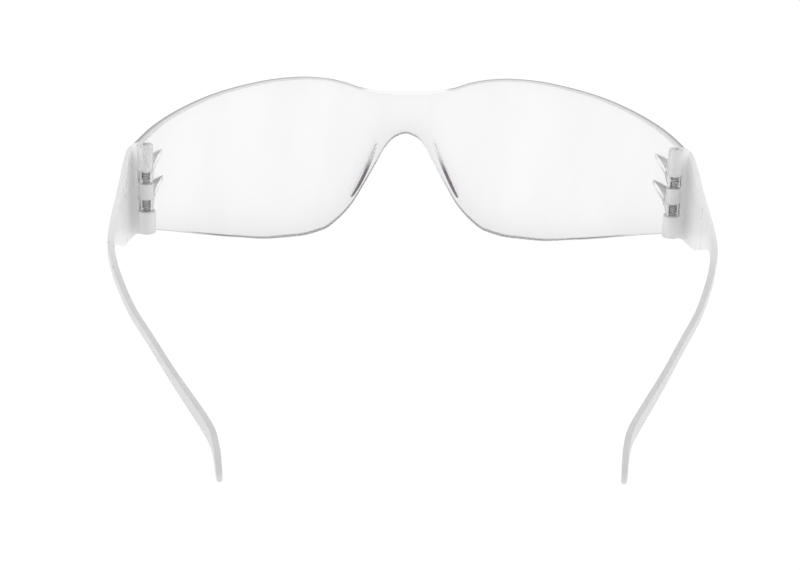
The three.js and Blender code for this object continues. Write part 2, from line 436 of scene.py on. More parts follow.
class NodeBoard:
    """A material and short ways to add and join its shader nodes."""

    def __init__(self, name: str) -> None:
        """Start a material that holds only its output.

        Args:
            name: The material's name.
        """
        self.material = bpy.data.materials.new(name)
        self.material.use_nodes = True
        self.nodes = self.material.node_tree.nodes
        self.nodes.clear()
        self.output = self.nodes.new("ShaderNodeOutputMaterial")

    def add(self, kind: str, **values: object) -> bpy.types.Node:
        """Add a node.

        Args:
            kind: The shader node's type, without its ShaderNode prefix.
            values: Settings of the node, or else values of its inputs, with _ for a space.

        Returns:
            The node.
        """
        node = self.nodes.new("ShaderNode" + kind)
        for key, value in values.items():
            if hasattr(node, key):
                setattr(node, key, value)
            else:
                node.inputs[key.replace("_", " ")].default_value = value
        return node

    def link(self, source: bpy.types.NodeSocket, target: bpy.types.NodeSocket) -> None:
        """Join an output to an input."""
        self.material.node_tree.links.new(source, target)

    def grain(self, scale: float, detail: float, stretch: Stretch) -> bpy.types.NodeSocket:
        """Add a noise that is fixed to the piece.

        Args:
            scale: How fine it is, in cells per metre.
            detail: How many finer layers it has.
            stretch: How much faster it changes along each axis.

        Returns:
            The noise's value.
        """
        place = self.add("TexCoord")
        turn = self.add("Mapping")
        turn.inputs["Scale"].default_value = stretch
        noise = self.add("TexNoise", Scale=scale, Detail=detail)
        self.link(place.outputs["Object"], turn.inputs["Vector"])
        self.link(turn.outputs["Vector"], noise.inputs["Vector"])
        return noise.outputs["Fac"]

    def slide(
        self, share: bpy.types.NodeSocket, start: float, end: float, reach: Pair = (0, 1)
    ) -> bpy.types.NodeSocket:
        """Give a value that goes from one number to another.

        Args:
            share: What it goes with.
            start: The value where the share is at its lowest.
            end: The value where the share is at its highest.
            reach: The lowest and the highest share.

        Returns:
            The value.
        """
        ranged = self.add("MapRange")
        ranged.inputs["From Min"].default_value = reach[0]
        ranged.inputs["From Max"].default_value = reach[1]
        ranged.inputs["To Min"].default_value = start
        ranged.inputs["To Max"].default_value = end
        self.link(share, ranged.inputs["Value"])
        return ranged.outputs["Result"]

    def spread(self, grain: bpy.types.NodeSocket, values: Pair) -> bpy.types.NodeSocket:
        """Map a noise's usual range onto a range of values."""
        return self.slide(grain, *values, NOISE_RANGE)

    def mixed(
        self, start: Colour | bpy.types.NodeSocket, end: Colour, share: bpy.types.NodeSocket
    ) -> bpy.types.NodeSocket:
        """Take a colour towards another.

        Args:
            start: The colour to start from.
            end: The colour that it becomes where share is 1.
            share: How far it goes.

        Returns:
            The mixed colour.
        """
        mix = self.add("Mix", data_type="RGBA")
        start_colour, end_colour = (s for s in mix.inputs if s.type == "RGBA")
        end_colour.default_value = (*end, 1)
        if isinstance(start, tuple):
            start_colour.default_value = (*start, 1)
        else:
            self.link(start, start_colour)
        self.link(share, mix.inputs[0])
        return next(s for s in mix.outputs if s.type == "RGBA")

    def carried(self, name: str) -> bpy.types.NodeSocket:
        """Read one of the values that the piece's mesh carries, from 0 to 1."""
        return self.add("Attribute", attribute_name=name).outputs["Fac"]

    def plus(
        self, source: bpy.types.NodeSocket, share: bpy.types.NodeSocket, most: float
    ) -> bpy.types.NodeSocket:
        """Add a part of a share to a value.

        Args:
            source: The value.
            share: The share, from 0 to 1.
            most: How much is added where share is 1.

        Returns:
            The sum.
        """
        math_node = self.add("Math", operation="MULTIPLY_ADD")
        self.link(share, math_node.inputs[0])
        math_node.inputs[1].default_value = most
        self.link(source, math_node.inputs[2])
        return math_node.outputs["Value"]

    def bump(
        self, height: bpy.types.NodeSocket, strength: float, depth: float
    ) -> bpy.types.NodeSocket:
        """Raise the surface by a noise.

        Args:
            height: The noise's value.
            strength: How strongly it shows, from 0 to 1.
            depth: How deep it is, in metres.

        Returns:
            The changed normal.
        """
        node = self.add("Bump", Strength=strength, Distance=depth)
        self.link(height, node.inputs["Height"])
        return node.outputs["Normal"]

    def fill(self, colour: Colour, density: float) -> None:
        """Let the inside of the piece take up light.

        Args:
            colour: The colour that is let through.
            density: How strongly, for each metre.
        """
        depth = self.add("VolumeAbsorption", Density=density)
        depth.inputs["Color"].default_value = (*colour, 1)
        self.link(depth.outputs["Volume"], self.output.inputs["Volume"])


@dataclass(frozen=True)
class ClearPolycarbonate:
    """Polished clear polycarbonate, with a trace of moulding flow and of handling."""

    slot: str = "clear_polycarbonate"
    dark: Colour = (0.89, 0.89, 0.89)
    light: Colour = (0.93, 0.93, 0.93)
    # painted shade colour: stands in for the dark refraction on the rims, nose pads, gusset
    # tops and bore threads
    edge: Colour = (0.06, 0.03, 0.055)
    body_colour: Colour = (0.6, 0.57, 0.59)
    body_density: float = 9.0
    refraction: float = 1.58
    flow_scale: float = 70.0
    flow_detail: float = 2.0
    flow_stretch: Stretch = (1, 1, 0.35)
    flow_strength: float = 0.04
    flow_depth: float = 0.0002
    rub_scale: float = 2600.0
    rub_detail: float = 3.0
    polish: Pair = (0.004, 0.02)
    matt_roughness: float = 0.5

    def material(self) -> bpy.types.Material:
        """Make the material.

        Returns:
            The material.
        """
        board = NodeBoard(self.slot + "_finish")
        flow = board.grain(self.flow_scale, self.flow_detail, self.flow_stretch)
        rubbed = board.grain(self.rub_scale, self.rub_detail, (1, 1, 1))
        shader = board.add("BsdfPrincipled", IOR=self.refraction)
        clearness = board.slide(board.carried(MATTE), 1, 0)
        board.link(clearness, shader.inputs["Transmission Weight"])
        colour = board.mixed(self.dark, self.light, board.spread(flow, (0, 1)))
        # painted shade: the colour goes towards the dark colour where the mesh carries it
        colour = board.mixed(colour, self.edge, board.carried(PAINTED_SHADE))
        board.link(colour, shader.inputs["Base Color"])
        polish = board.spread(rubbed, self.polish)
        roughness = board.plus(polish, board.carried(MATTE), self.matt_roughness)
        board.link(roughness, shader.inputs["Roughness"])
        bump = board.bump(flow, self.flow_strength, self.flow_depth)
        board.link(bump, shader.inputs["Normal"])
        board.link(shader.outputs["BSDF"], board.output.inputs["Surface"])
        board.fill(self.body_colour, self.body_density)
        return board.material


@dataclass(frozen=True)
class FrostedPolycarbonate:
    """Translucent polycarbonate, frosted by the fine texture of its mould."""

    slot: str = "frosted_polycarbonate"
    dark: Colour = (0.93, 0.93, 0.93)
    light: Colour = (0.99, 0.99, 0.99)
    # painted shade colour: darkens the arms towards their tips and the faces that look up
    edge: Colour = (0.3, 0.3, 0.3)
    body_colour: Colour = (0.9, 0.9, 0.9)
    body_density: float = 8.0
    refraction: float = 1.58
    clearness: float = 0.5
    matt_clearness: float = 0.2
    streak_scale: float = 260.0
    streak_detail: float = 3.0
    streak_stretch: Stretch = (1, 1, 0.16)
    frost: Pair = (0.26, 0.38)
    texture_scale: float = 5200.0
    texture_detail: float = 2.0
    texture_strength: float = 0.25
    texture_depth: float = 0.00005

    def material(self) -> bpy.types.Material:
        """Make the material.

        Returns:
            The material.
        """
        board = NodeBoard(self.slot + "_finish")
        streaks = board.grain(self.streak_scale, self.streak_detail, self.streak_stretch)
        texture = board.grain(self.texture_scale, self.texture_detail, (1, 1, 1))
        shader = board.add("BsdfPrincipled", IOR=self.refraction)
        clearness = board.slide(board.carried(MATTE), self.clearness, self.matt_clearness)
        board.link(clearness, shader.inputs["Transmission Weight"])
        colour = board.mixed(self.dark, self.light, board.spread(streaks, (0, 1)))
        # painted shade: the colour goes towards the grey where the mesh carries it
        colour = board.mixed(colour, self.edge, board.carried(PAINTED_SHADE))
        board.link(colour, shader.inputs["Base Color"])
        board.link(board.spread(streaks, self.frost), shader.inputs["Roughness"])
        bump = board.bump(texture, self.texture_strength, self.texture_depth)
        board.link(bump, shader.inputs["Normal"])
        board.link(shader.outputs["BSDF"], board.output.inputs["Surface"])
        board.fill(self.body_colour, self.body_density)
        return board.material


@dataclass(frozen=True)
class PlatedSteel:
    """Bright plated screw steel, with fine marks round its turned faces."""

    slot: str = "screw_steel"
    dark: Colour = (0.82, 0.81, 0.82)
    light: Colour = (0.93, 0.92, 0.93)
    # painted shade colour on the thread's crests
    crest: Colour = (0.05, 0.045, 0.05)
    metallic: float = 0.6
    mark_scale: float = 3000.0
    mark_detail: float = 3.0
    mark_stretch: Stretch = (0.3, 0.3, 2)
    mark_strength: float = 0.2
    mark_depth: float = 0.00003
    polish: Pair = (0.24, 0.42)

    def material(self) -> bpy.types.Material:
        """Make the material.

        Returns:
            The material.
        """
        board = NodeBoard(self.slot + "_finish")
        marks = board.grain(self.mark_scale, self.mark_detail, self.mark_stretch)
        shader = board.add("BsdfPrincipled", Metallic=self.metallic)
        colour = board.mixed(self.dark, self.light, board.spread(marks, (0, 1)))
        # painted shade: the crests go dark where the mesh carries it
        colour = board.mixed(colour, self.crest, board.carried(PAINTED_SHADE))
        board.link(colour, shader.inputs["Base Color"])
        board.link(board.spread(marks, self.polish), shader.inputs["Roughness"])
        bump = board.bump(marks, self.mark_strength, self.mark_depth)
        board.link(bump, shader.inputs["Normal"])
        board.link(shader.outputs["BSDF"], board.output.inputs["Surface"])
        return board.material


Finish = ClearPolycarbonate | FrostedPolycarbonate | PlatedSteel


def toned(mesh: BMesh, tone_at: Callable[[Vector, Vector], Pair]) -> None:
    """Let a mesh carry its painted shade and how matt its finish is, from spot to spot.

    Args:
        mesh: The mesh, which gets two values for each corner of each face.
        tone_at: Gives, from the corner's place and the face's normal, how far the
        colour goes towards the painted shade colour and how matt the spot is.
    """
    tone, matte = (mesh.loops.layers.float.new(name) for name in (PAINTED_SHADE, MATTE))
    mesh.normal_update()
    for face in mesh.faces:
        for loop in face.loops:
            loop[tone], loop[matte] = tone_at(loop.vert.co, face.normal)


def dressed(name: str, mesh: BMesh, finish: Finish, body: str) -> bpy.types.Object:
    """Finish a piece: bring it to metres, give it its material and let it ride.

    Args:
        name: The piece's name. The CAD node it stands for is named so without "_piece".
        mesh: Its shape in millimetres. It is freed.
        finish: What it is made of.
        body: The body of the frame that it moves with.

    Returns:
        The piece.
    """
    bmesh.ops.scale(mesh, vec=(MM, MM, MM), verts=mesh.verts[:])
    bmesh.ops.remove_doubles(mesh, verts=mesh.verts[:], dist=MERGE_IN_METRES)
    piece = as_object(name, mesh)
    piece.data.shade_smooth()
    piece.data.set_sharp_from_angle(angle=math.radians(CREASE_ANGLE))
    piece.data.materials.clear()
    material = bpy.data.materials.get(finish.slot + "_finish") or finish.material()
    piece.data.materials.append(material)
    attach(piece, body)
    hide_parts(name.removesuffix("_piece"))
    LOG.info("%s: %d faces, rides on %s", name, len(piece.data.polygons), body)
    return piece


# ------------------------------------------------------------------------- the pieces


@dataclass(frozen=True)
class HingeStack:
    """The heights and sizes that the lens, the temples and the screws share."""

    axis: Vector
    top: float = 39.8
    upper_lug: Pair = (29.8, 32.7)
    lower_lug: Pair = (22.4, 25.3)
    bottom: float = 16.4
    gap: float = 0.15
    lug_radius: float = 1.55
    knuckle_radius: float = 1.8
    lower_knuckle_radius: float = 2.15
    pitch: float = 0.6
    core_radius: float = 0.42
    thread_radius: float = 0.66
    bore_radius: float = 0.76
    head_radius: float = 0.74
    head_seat_radius: float = 0.8
    head_height: float = 0.8
    head_recess: float = 0.7
    screw_foot: float = 17.2
    foot_room: float = 0.3
    seat_room: float = 0.1

    @classmethod
    def from_joint(cls, name: str) -> "HingeStack":
        """Place the stack on the axis of one of the frame's joints.

        Args:
            name: The joint's name.

        Returns:
            The stack, in millimetres.
        """
        joint = next(j for j in frame["joints"] if j["name"] == name)
        return cls(Vector(joint["pos_m"]) / MM)

    def from_axis(self, point: Vector) -> float:
        """Return how far a point lies from the hinge axis, on the right-hand side."""
        return math.hypot(abs(point.x) - self.axis.x, point.y - self.axis.y)


@dataclass
class Lens:
    """The one-piece lens with its nose pads, hinge lugs and gussets."""

    hinge: HingeStack
    front_y: float
    half_width: float
    thickness: float = 2.1
    wrap_radius: float = 70.0
    wrap_centre: float = 8.0
    bridge_blend: float = 5.0
    drop_radius: float = 110.0
    drop_centre: float = 22.0
    bridge_extra: float = 0.5
    bridge_reach: float = 15.0
    edge_rounding: float = 0.45
    columns: int = 236
    rows: int = 40
    evenness: float = 0.55
    top_edge: Pairs = (
        (0, 39.3), (6.5, 39.5), (12, 40.4), (17, 42.3), (22, 43.6), (28, 44.4), (34, 44.6),
        (42, 44.2), (50, 43.4), (58, 41.9), (65, 39.8), (70.4, 36.9),
    )  # fmt: skip
    bottom_edge: Pairs = (
        (0, 27.6), (2.6, 26.6), (5.2, 23.7), (7.2, 19.9), (9.3, 15.9), (11.4, 12.1), (14, 7.9),
        (17.6, 4), (22, 1.1), (28.5, 0), (36, 0.3), (46, 2.6), (56, 6.4), (64, 10.6),
        (70.4, 14.8),
    )  # fmt: skip
    pad_line: Pairs = ((7.4, 25.2), (10.6, 17.6), (14.4, 9.8))
    pad_end_thickness: float = 0.585
    pad_thickness: float = 0.975
    pad_fullness: float = 0.7
    pad_depth: float = 5.4
    pad_root: float = 0.7
    pad_flare: float = 0.4
    pad_rounding: float = 0.25
    pad_round_share: float = 0.4
    pad_columns: int = 36
    pad_rows: int = 12
    gusset_outline: Pairs = (
        (67.5, 29), (67.5, 37.6), (66, 40), (62.4, 45), (63.05, 41.6), (63.6, 38.7),
        (63.95, 35.9), (64.1, 33.5), (64.2, 31.2), (64.25, 29),
    )  # fmt: skip
    gusset_apex_height: float = 1.3
    gusset_rise: float = 0.7
    gusset_rounding: float = 0.12
    gusset_steps: int = 2
    lug_rounding: float = 0.12
    lug_flat: float = 1.15
    clear_reach: float = 2.0
    clear_depth: float = 3.0

    # the painted shade: how dark a spot is painted at least and at most, how matt it gets,
    # and, in the pairs called start, where a change starts and over how many millimetres it
    # runs
    nose_reach: float = 20.0
    pad_tones: Pair = (0.06, 0.91)
    pad_matte: float = 0.9
    rib_tone: float = 0.5
    rib_matte: float = 0.9
    rib_start: Pair = (0.18, 0.12)
    lug_matte: float = 0.6
    gusset_tones: Pair = (0.03, 0.4)
    gusset_matte: float = 0.95
    gusset_start: Pair = (37.0, 2.0)
    top_tones: Pair = (0.1, 0.75)
    top_start: Pair = (9.5, 3.0)
    rear_share: float = 0.3
    rear_start: Pair = (1.1, 0.7)
    bottom_tones: Pair = (0.03, 0.4)
    bottom_start: Pair = (42.0, 8.0)
    rim_matte: float = 0.92
    rim_facing: Pair = (0.97, 0.1)
    low_skin_tone: float = 0.15
    low_skin_fade: float = 4.0
    high_skin_tone: float = 0.05
    high_skin_fade: float = 1.6

    def __post_init__(self) -> None:
        """Prepare the two edge lines."""
        self.top_line = EdgeLine(self.top_edge)
        self.bottom_line = EdgeLine(self.bottom_edge)

    def wrap_reach(self, x: float) -> float:
        """Return how far along its own half's curve a point lies."""
        return math.hypot(x, self.bridge_blend) - self.wrap_centre

    def front_point(self, x: float, z: float) -> Vector:
        """Find a point on the front face.

        Args:
            x: Its place across the glasses.
            z: Its height.

        Returns:
            The point.
        """
        wrap = self.wrap_radius - math.sqrt(self.wrap_radius**2 - self.wrap_reach(x) ** 2)
        drop = self.drop_radius - math.sqrt(self.drop_radius**2 - (z - self.drop_centre) ** 2)
        return Vector((x, self.front_y - wrap - drop, z))

    def outward(self, x: float) -> Vector:
        """Find the way out through the front face, seen from above.

        Args:
            x: The place across the glasses.

        Returns:
            The direction, one unit long.
        """
        reach = self.wrap_reach(x)
        slope = reach / math.sqrt(self.wrap_radius**2 - reach**2)
        return Vector((slope * x / math.hypot(x, self.bridge_blend), 1, 0)).normalized()

    def section(self, column: int, row: int) -> PointAndWay:
        """Find a point of the front skin and the way to the back skin.

        Args:
            column: Which column of the grid, from the left end. They are closest at
                the nose.
            row: Which row of the grid, from the lower edge.

        Returns:
            The point and the way.
        """
        inset, end_sink = edge_round(column, self.columns, self.edge_rounding)
        end = 1 - inset / self.half_width
        along = edge_place(column, self.columns, -end, end)
        x = self.half_width * (self.evenness * along + (1 - self.evenness) * along**3)
        place = abs(x)
        inset, row_sink = edge_round(row, self.rows, self.edge_rounding)
        low = self.bottom_line.at(place)
        low += inset * math.hypot(1, self.bottom_line.steepness(place))
        high = self.top_line.at(place)
        high -= inset * math.hypot(1, self.top_line.steepness(place))
        z = edge_place(row, self.rows, low, high)
        sink = max(end_sink, row_sink)
        thick = self.thickness + self.bridge_extra * (1 - eased(place / self.bridge_reach))
        out = self.outward(x)
        return self.front_point(x, z) - out * sink, -out * (thick - 2 * sink)

    def pad_section(self, column: int, row: int) -> PointAndWay:
        """Find a point on the inner face of the right-hand nose pad, and the way across it.

        Args:
            column: Which column of the grid, from the pad's upper end.
            row: Which row of the grid, from the pad's root in the lens.

        Returns:
            The point and the way.
        """
        along = column / self.pad_columns
        start, middle, end = (Vector(p) for p in self.pad_line)
        line = start * (1 - along) ** 2 + middle * 2 * along * (1 - along) + end * along**2
        swell = max(math.sin(math.pi * along), 0) ** self.pad_fullness
        depth = self.pad_root + self.pad_depth * swell
        sunk = self.thickness - self.pad_root
        root = self.front_point(line.x, line.y) - self.outward(line.x) * sunk
        thick = blend_between(self.pad_end_thickness, self.pad_thickness, swell)
        radius = min(self.pad_rounding, thick * self.pad_round_share)
        inset, sink = edge_round(self.pad_rows - row, 2 * self.pad_rows, radius)
        back = min(row / (self.pad_rows - ROUND_STEPS), 1) * (depth - radius)
        if row > self.pad_rows - ROUND_STEPS:
            back = depth - inset
        lean = self.pad_flare * swell * back / depth - thick / 2 + sink
        return root + Vector((lean, -back, 0)), Vector((thick - 2 * sink, 0, 0))

    def nose_pad(self) -> BMesh:
        """Make the right-hand nose pad, a fin that is sunk a little into the lens."""
        return moulded_wall(self.pad_columns, self.pad_rows, self.pad_section)

    def gusset(self, lug: Pair) -> BMesh:
        """Make the plate that ties one right-hand lug to the lens.

        Args:
            lug: The heights of the lug's lower and upper faces.

        Returns:
            The plate, which thins and climbs towards its tip.
        """
        low, high = lug
        mesh = plate(self.gusset_outline, low, high)
        run = max(y for _, y in self.gusset_outline) - self.hinge.axis.y
        for vert in mesh.verts:
            share = (vert.co.y - self.hinge.axis.y) / run
            top = high + self.gusset_rise * share
            height = blend_between(high - low, self.gusset_apex_height, share)
            vert.co.z = top if vert.co.z > (low + high) / 2 else top - height
        softened(mesh, level_edges(mesh, 1), self.gusset_rounding, self.gusset_steps)
        return mesh

    def features(self) -> BMesh:
        """Join the right-hand pad, lugs and gussets.

        Returns:
            The solids that are added to the right half of the lens.
        """
        hinge = self.hinge
        made = self.nose_pad()
        for lug in (hinge.upper_lug, hinge.lower_lug):
            made = joined(made, self.gusset(lug), Joining.ADD)
            barrel = drum(hinge.axis, hinge.lug_radius, *lug, self.lug_rounding)
            made = joined(made, barrel, Joining.ADD)
        reach, back = self.clear_reach, hinge.axis.y - self.lug_flat
        behind = block(
            Vector((hinge.axis.x - reach, hinge.axis.y - self.clear_depth, hinge.bottom)),
            Vector((hinge.axis.x + reach, back, hinge.top)),
        )
        made = joined(made, behind, Joining.CUT)
        play = hinge.bore_radius - hinge.thread_radius
        ends = (hinge.bottom, hinge.top)
        core = hinge.core_radius + play
        bore = threaded_rod(hinge.axis, core, hinge.bore_radius, hinge.pitch, ends)
        return joined(made, bore, Joining.CUT)

    def pad_tone(self, point: Vector, normal: Vector) -> Pair:
        """Find the painted shade of a spot on a nose pad, darkest low on its rear edge.

        Args:
            point: The spot.
            normal: The way its face looks.

        Returns:
            The painted shade, and how matt the spot is.
        """
        top, foot = self.pad_line[0][1], self.pad_line[-1][1]
        along = (top - point.z) / (top - foot)
        # painted shade, darkest low on the pad's rear edge
        rear = eased((along - 0.02) / 0.4) * eased((-normal.y - 0.3) / 0.4)
        return blend_between(*self.pad_tones, rear), self.pad_matte * rear

    def hinge_tone(self, point: Vector, normal: Vector) -> Pair:
        """Find the painted shade of a spot on a lug or a gusset.

        Args:
            point: The spot.
            normal: The way its face looks.

        Returns:
            The painted shade, darkest on the thread's ribs and on a gusset's upper face,
            and how matt the spot is.
        """
        hinge = self.hinge
        radius = hinge.from_axis(point)
        if radius < hinge.bore_radius + NEAR:
            start, span = self.rib_start
            # painted shade on the bore's thread ribs
            rib = eased((radius - hinge.core_radius - start) / span)
            return self.rib_tone * rib, self.rib_matte
        if radius < hinge.lug_radius + NEAR and point.y < hinge.axis.y + 1:
            return 0.0, self.lug_matte * eased(abs(normal.x) / 0.6)
        start, span = self.gusset_start
        # painted shade on a gusset's upper face
        on_top = eased((normal.z - 0.5) / 0.4) * eased((point.y - start) / span)
        return blend_between(*self.gusset_tones, on_top), self.gusset_matte * on_top

    def rim_tone(self, x: float, behind: float, upper: bool) -> float:
        """Find the painted shade on the lens's rim.

        Args:
            x: How far from the middle of the glasses the spot is.
            behind: How far behind the front face it is.
            upper: Whether it is on the upper rim.

        Returns:
            The painted shade, which rises from the nose to the side, and falls to the rear of
            the upper rim.
        """
        if not upper:
            start, span = self.bottom_start
            return blend_between(*self.bottom_tones, eased((x - start) / span))
        start, span = self.top_start
        tone = blend_between(*self.top_tones, eased((x - start) / span))
        start, span = self.rear_start
        return tone * blend_between(1, self.rear_share, eased((behind - start) / span))

    def tone(self, point: Vector, normal: Vector) -> Pair:
        """Find the painted shade and how matt the clear plastic is at a spot.

        Args:
            point: The spot.
            normal: The way its face looks.

        Returns:
            Both values: high on the edges, low on the two faces of the lens.
        """
        x = abs(point.x)
        low, high = self.bottom_line.at(x), self.top_line.at(x)
        out = self.outward(point.x)
        height = min(max(point.z, 0), max(z for _, z in self.top_edge))
        behind = (self.front_point(point.x, height) - point).dot(out)
        if behind > self.thickness + self.bridge_extra + 5 * NEAR:
            on_nose = x < self.nose_reach
            return self.pad_tone(point, normal) if on_nose else self.hinge_tone(point, normal)
        start, span = self.rim_facing
        rim = eased((start - abs(normal.dot(out))) / span)
        from_low = (point.z - low) / math.hypot(1, self.bottom_line.steepness(x))
        from_high = high - point.z
        rim_tone = self.rim_tone(x, behind, from_high < from_low)
        # painted shade on the two faces, fading in from the lower and the upper edges
        skin = self.low_skin_tone * math.exp(-max(from_low, 0) / self.low_skin_fade)
        skin += self.high_skin_tone * math.exp(-max(from_high, 0) / self.high_skin_fade)
        return blend_between(skin, rim_tone, rim), self.rim_matte * rim

    def build(self, finish: Finish) -> bpy.types.Object:
        """Make the whole lens.

        Args:
            finish: What it is made of.

        Returns:
            The piece.
        """
        right = self.features()
        left = mirrored(right)
        shell = moulded_wall(self.columns, self.rows, self.section)
        whole = joined(joined(shell, right, Joining.ADD), left, Joining.ADD)
        toned(whole, self.tone)
        return dressed("lens_piece", whole, finish, "front")


@dataclass
class Temple:
    """The right-hand temple: side shield, hinge knuckles, arm and ear tip in one.

    A station is the middle of the wall seen from above, the heights of its upper and
    lower edges, and its thickness: (x, y, top, bottom, thick). Behind the shield the wall
    thins to a web below the rib that runs along its upper edge.
    """

    hinge: HingeStack
    stations: tuple[tuple[float, ...], ...] = (
        (65.8, 29.0, 39.8, 15.8, 1.9),
        (67.5, 30.9, 39.5, 15.2, 1.8),
        (69.2, 32.0, 38.6, 14.4, 1.7),
        (70.2, 31.1, 37.0, 14.1, 1.6),
        (70.8, 27.5, 34.9, 14.3, 1.6),
        (71.4, 22.5, 32.2, 15.3, 1.6),
        (72.1, 16.5, 29.6, 17.9, 1.6),
        (72.7, 10.0, 27.1, 20.4, 1.7),
        (72.8, 3.0, 24.7, 20.9, 1.7),
        (71.8, -3.0, 22.9, 19.8, 1.6),
        (69.6, -11.5, 21.1, 18.2, 1.5),
        (66.0, -22.0, 18.6, 15.8, 1.4),
        (61.0, -33.0, 16.1, 13.2, 1.4),
        (55.5, -45.0, 13.3, 10.1, 1.4),
        (49.4, -57.0, 10.3, 6.3, 1.5),
        (46.2, -63.5, 8.3, 3.4, 1.5),
        (44.9, -68.0, 6.0, 1.0, 1.5),
        (44.4, -71.2, 4.0, 0, 1.45),
        (44.0, -74.0, 1.7, 0, 1.4),
    )
    web_share: float = 0.62
    web_rate: float = 12.0
    web_delay: float = 2.0
    rib_height: float = 3.4
    rib_blend: float = 1.1
    edge_rounding: float = 0.42
    round_share: float = 0.3
    sink_share: float = 0.35
    share_per_mm: float = 0.02
    columns: int = 260
    rows: int = 40
    pocket_start: float = 3.0
    pocket_reach: float = 2.0
    pocket_depth: float = 5.4
    knuckle_rounding: float = 0.25
    tip_share: float = 0.03
    tip_height: float = 0.9
    tip_thinness: float = 0.45
    across_step: float = 0.002

    # the painted shade: how dark a spot is painted, and where along the arm it starts to
    arm_tone: float = 0.3
    arm_start: float = 16.0
    arm_fade: float = 30.0
    upward_tone: float = 0.22
    matte_fade: float = 0.6

    def at(self, along: float) -> list[float]:
        """Find the station at any share of the temple's length.

        Args:
            along: The share, from 0 at the hinge to 1 at the tip.

        Returns:
            The five values of a station there.
        """
        last = len(self.stations) - 1
        place = min(max(along, 0.0), 1.0) * last
        index = min(int(place), last - 1)
        u = place - index
        a, b, c, d = (
            self.stations[min(max(index + shift, 0), last)] for shift in (-1, 0, 1, 2)
        )
        return [
            0.5 * (2 * q + u * (r - p) + u * u * (2 * p - 5 * q + 4 * r - s)
                   + u**3 * (3 * q - p - 3 * r + s))
            for p, q, r, s in zip(a, b, c, d)
        ]  # fmt: skip

    def across(self, along: float) -> Vector:
        """Find the way out through the wall, seen from above.

        Args:
            along: The share of the temple's length.

        Returns:
            The direction, one unit long.
        """
        x0, y0 = self.at(along - self.across_step)[:2]
        x1, y1 = self.at(along + self.across_step)[:2]
        return Vector((y0 - y1, x1 - x0, 0)).normalized()

    def row_height(self, row: int, low: float, top: float, radius: float) -> float:
        """Find the height of a row of the wall's skin.

        Args:
            row: Which row, from the lower edge. The upper half of them follow the rib
                along the upper edge.
            low: The height of the lower edge.
            top: The height of the upper edge.
            radius: The radius of the two edges' rounding.

        Returns:
            The height.
        """
        inset = edge_round(row, self.rows, radius)[0]
        rib = min(self.rib_height + self.rib_blend, (top - low) / 2)
        half = self.rows // 2
        share = (row - ROUND_STEPS) / (half - ROUND_STEPS)
        if row <= ROUND_STEPS:
            return low + inset
        if row < half:
            return blend_between(low + radius, top - rib, share)
        if row < self.rows - ROUND_STEPS:
            return blend_between(top - rib, top - radius, share - 1)
        return top - inset

    def section(self, column: int, row: int) -> PointAndWay:
        """Find a point of the outer skin and the way to the inner skin.

        Args:
            column: Which column of the grid, from the hinge.
            row: Which row of the grid, from the lower edge.

        Returns:
            The point and the way.
        """
        inset, end_sink = edge_round(column, self.columns, self.edge_rounding)
        end = inset * self.share_per_mm
        along = edge_place(column, self.columns, end, 1 - end)
        x, y, top, low, thick = self.at(along)
        low = max(low, 0)
        fullness = math.sqrt(1 - max(1 - (1 - along) / self.tip_share, 0) ** 2)
        thick *= blend_between(self.tip_thinness, 1, fullness)
        top = blend_between(low + self.tip_height, top, fullness)
        radius = min(self.edge_rounding, thick * self.round_share, (top - low) / 4)
        z = self.row_height(row, low, top, radius)
        in_web = eased((top - self.rib_height - z) / self.rib_blend)
        in_web *= eased(along * self.web_rate - self.web_delay)
        thick *= blend_between(1, self.web_share, in_web)
        row_sink = edge_round(row, self.rows, radius)[1]
        sink = min(max(end_sink, row_sink), thick * self.sink_share)
        out = self.across(along)
        return Vector((x, y, z)) + out * (thick / 2 - sink), -out * (thick - 2 * sink)

    def pocket(self, lug: Pair) -> BMesh:
        """Make the room that one lens lug and its gusset need.

        Args:
            lug: The heights of the lug's lower and upper faces.

        Returns:
            The block to cut away.
        """
        axis, gap, depth = self.hinge.axis, self.hinge.gap, self.pocket_depth
        return block(
            Vector((axis.x - self.pocket_start, axis.y - depth, lug[0] - gap)),
            Vector((axis.x + self.pocket_reach, axis.y + depth, lug[1] + gap)),
        )

    def solid(self) -> BMesh:
        """Join the wall and the knuckles, and cut the pockets and the bore.

        Returns:
            The right-hand temple.
        """
        hinge = self.hinge
        made = moulded_wall(self.columns, self.rows, self.section)
        for lug in (hinge.upper_lug, hinge.lower_lug):
            made = joined(made, self.pocket(lug), Joining.CUT)
        upper_low, upper_high = hinge.upper_lug[0] - hinge.gap, hinge.upper_lug[1] + hinge.gap
        lower_low, lower_high = hinge.lower_lug[0] - hinge.gap, hinge.lower_lug[1] + hinge.gap
        knuckles = (
            (hinge.knuckle_radius, upper_high, hinge.top),
            (hinge.knuckle_radius, lower_high, upper_low),
            (hinge.lower_knuckle_radius, hinge.bottom, lower_low),
        )
        for radius, low, high in knuckles:
            knuckle = drum(hinge.axis, radius, low, high, self.knuckle_rounding)
            made = joined(made, knuckle, Joining.ADD)
        foot, top = hinge.screw_foot - hinge.foot_room, hinge.top + PAST
        bore = drum(hinge.axis, hinge.bore_radius, foot, top)
        seat_floor = hinge.top - hinge.head_recess - hinge.head_height - hinge.seat_room
        seat = drum(hinge.axis, hinge.head_seat_radius, seat_floor, top)
        return joined(joined(made, bore, Joining.CUT), seat, Joining.CUT)

    def tone(self, point: Vector, normal: Vector) -> Pair:
        """Find the painted shade on the frosted plastic at a spot, darker along the arm.

        Args:
            point: The spot.
            normal: The way its face looks.

        Returns:
            The painted shade, and how matt the spot is: less on the knuckles round the screw.
        """
        off_knuckles = self.hinge.from_axis(point) - self.hinge.lower_knuckle_radius
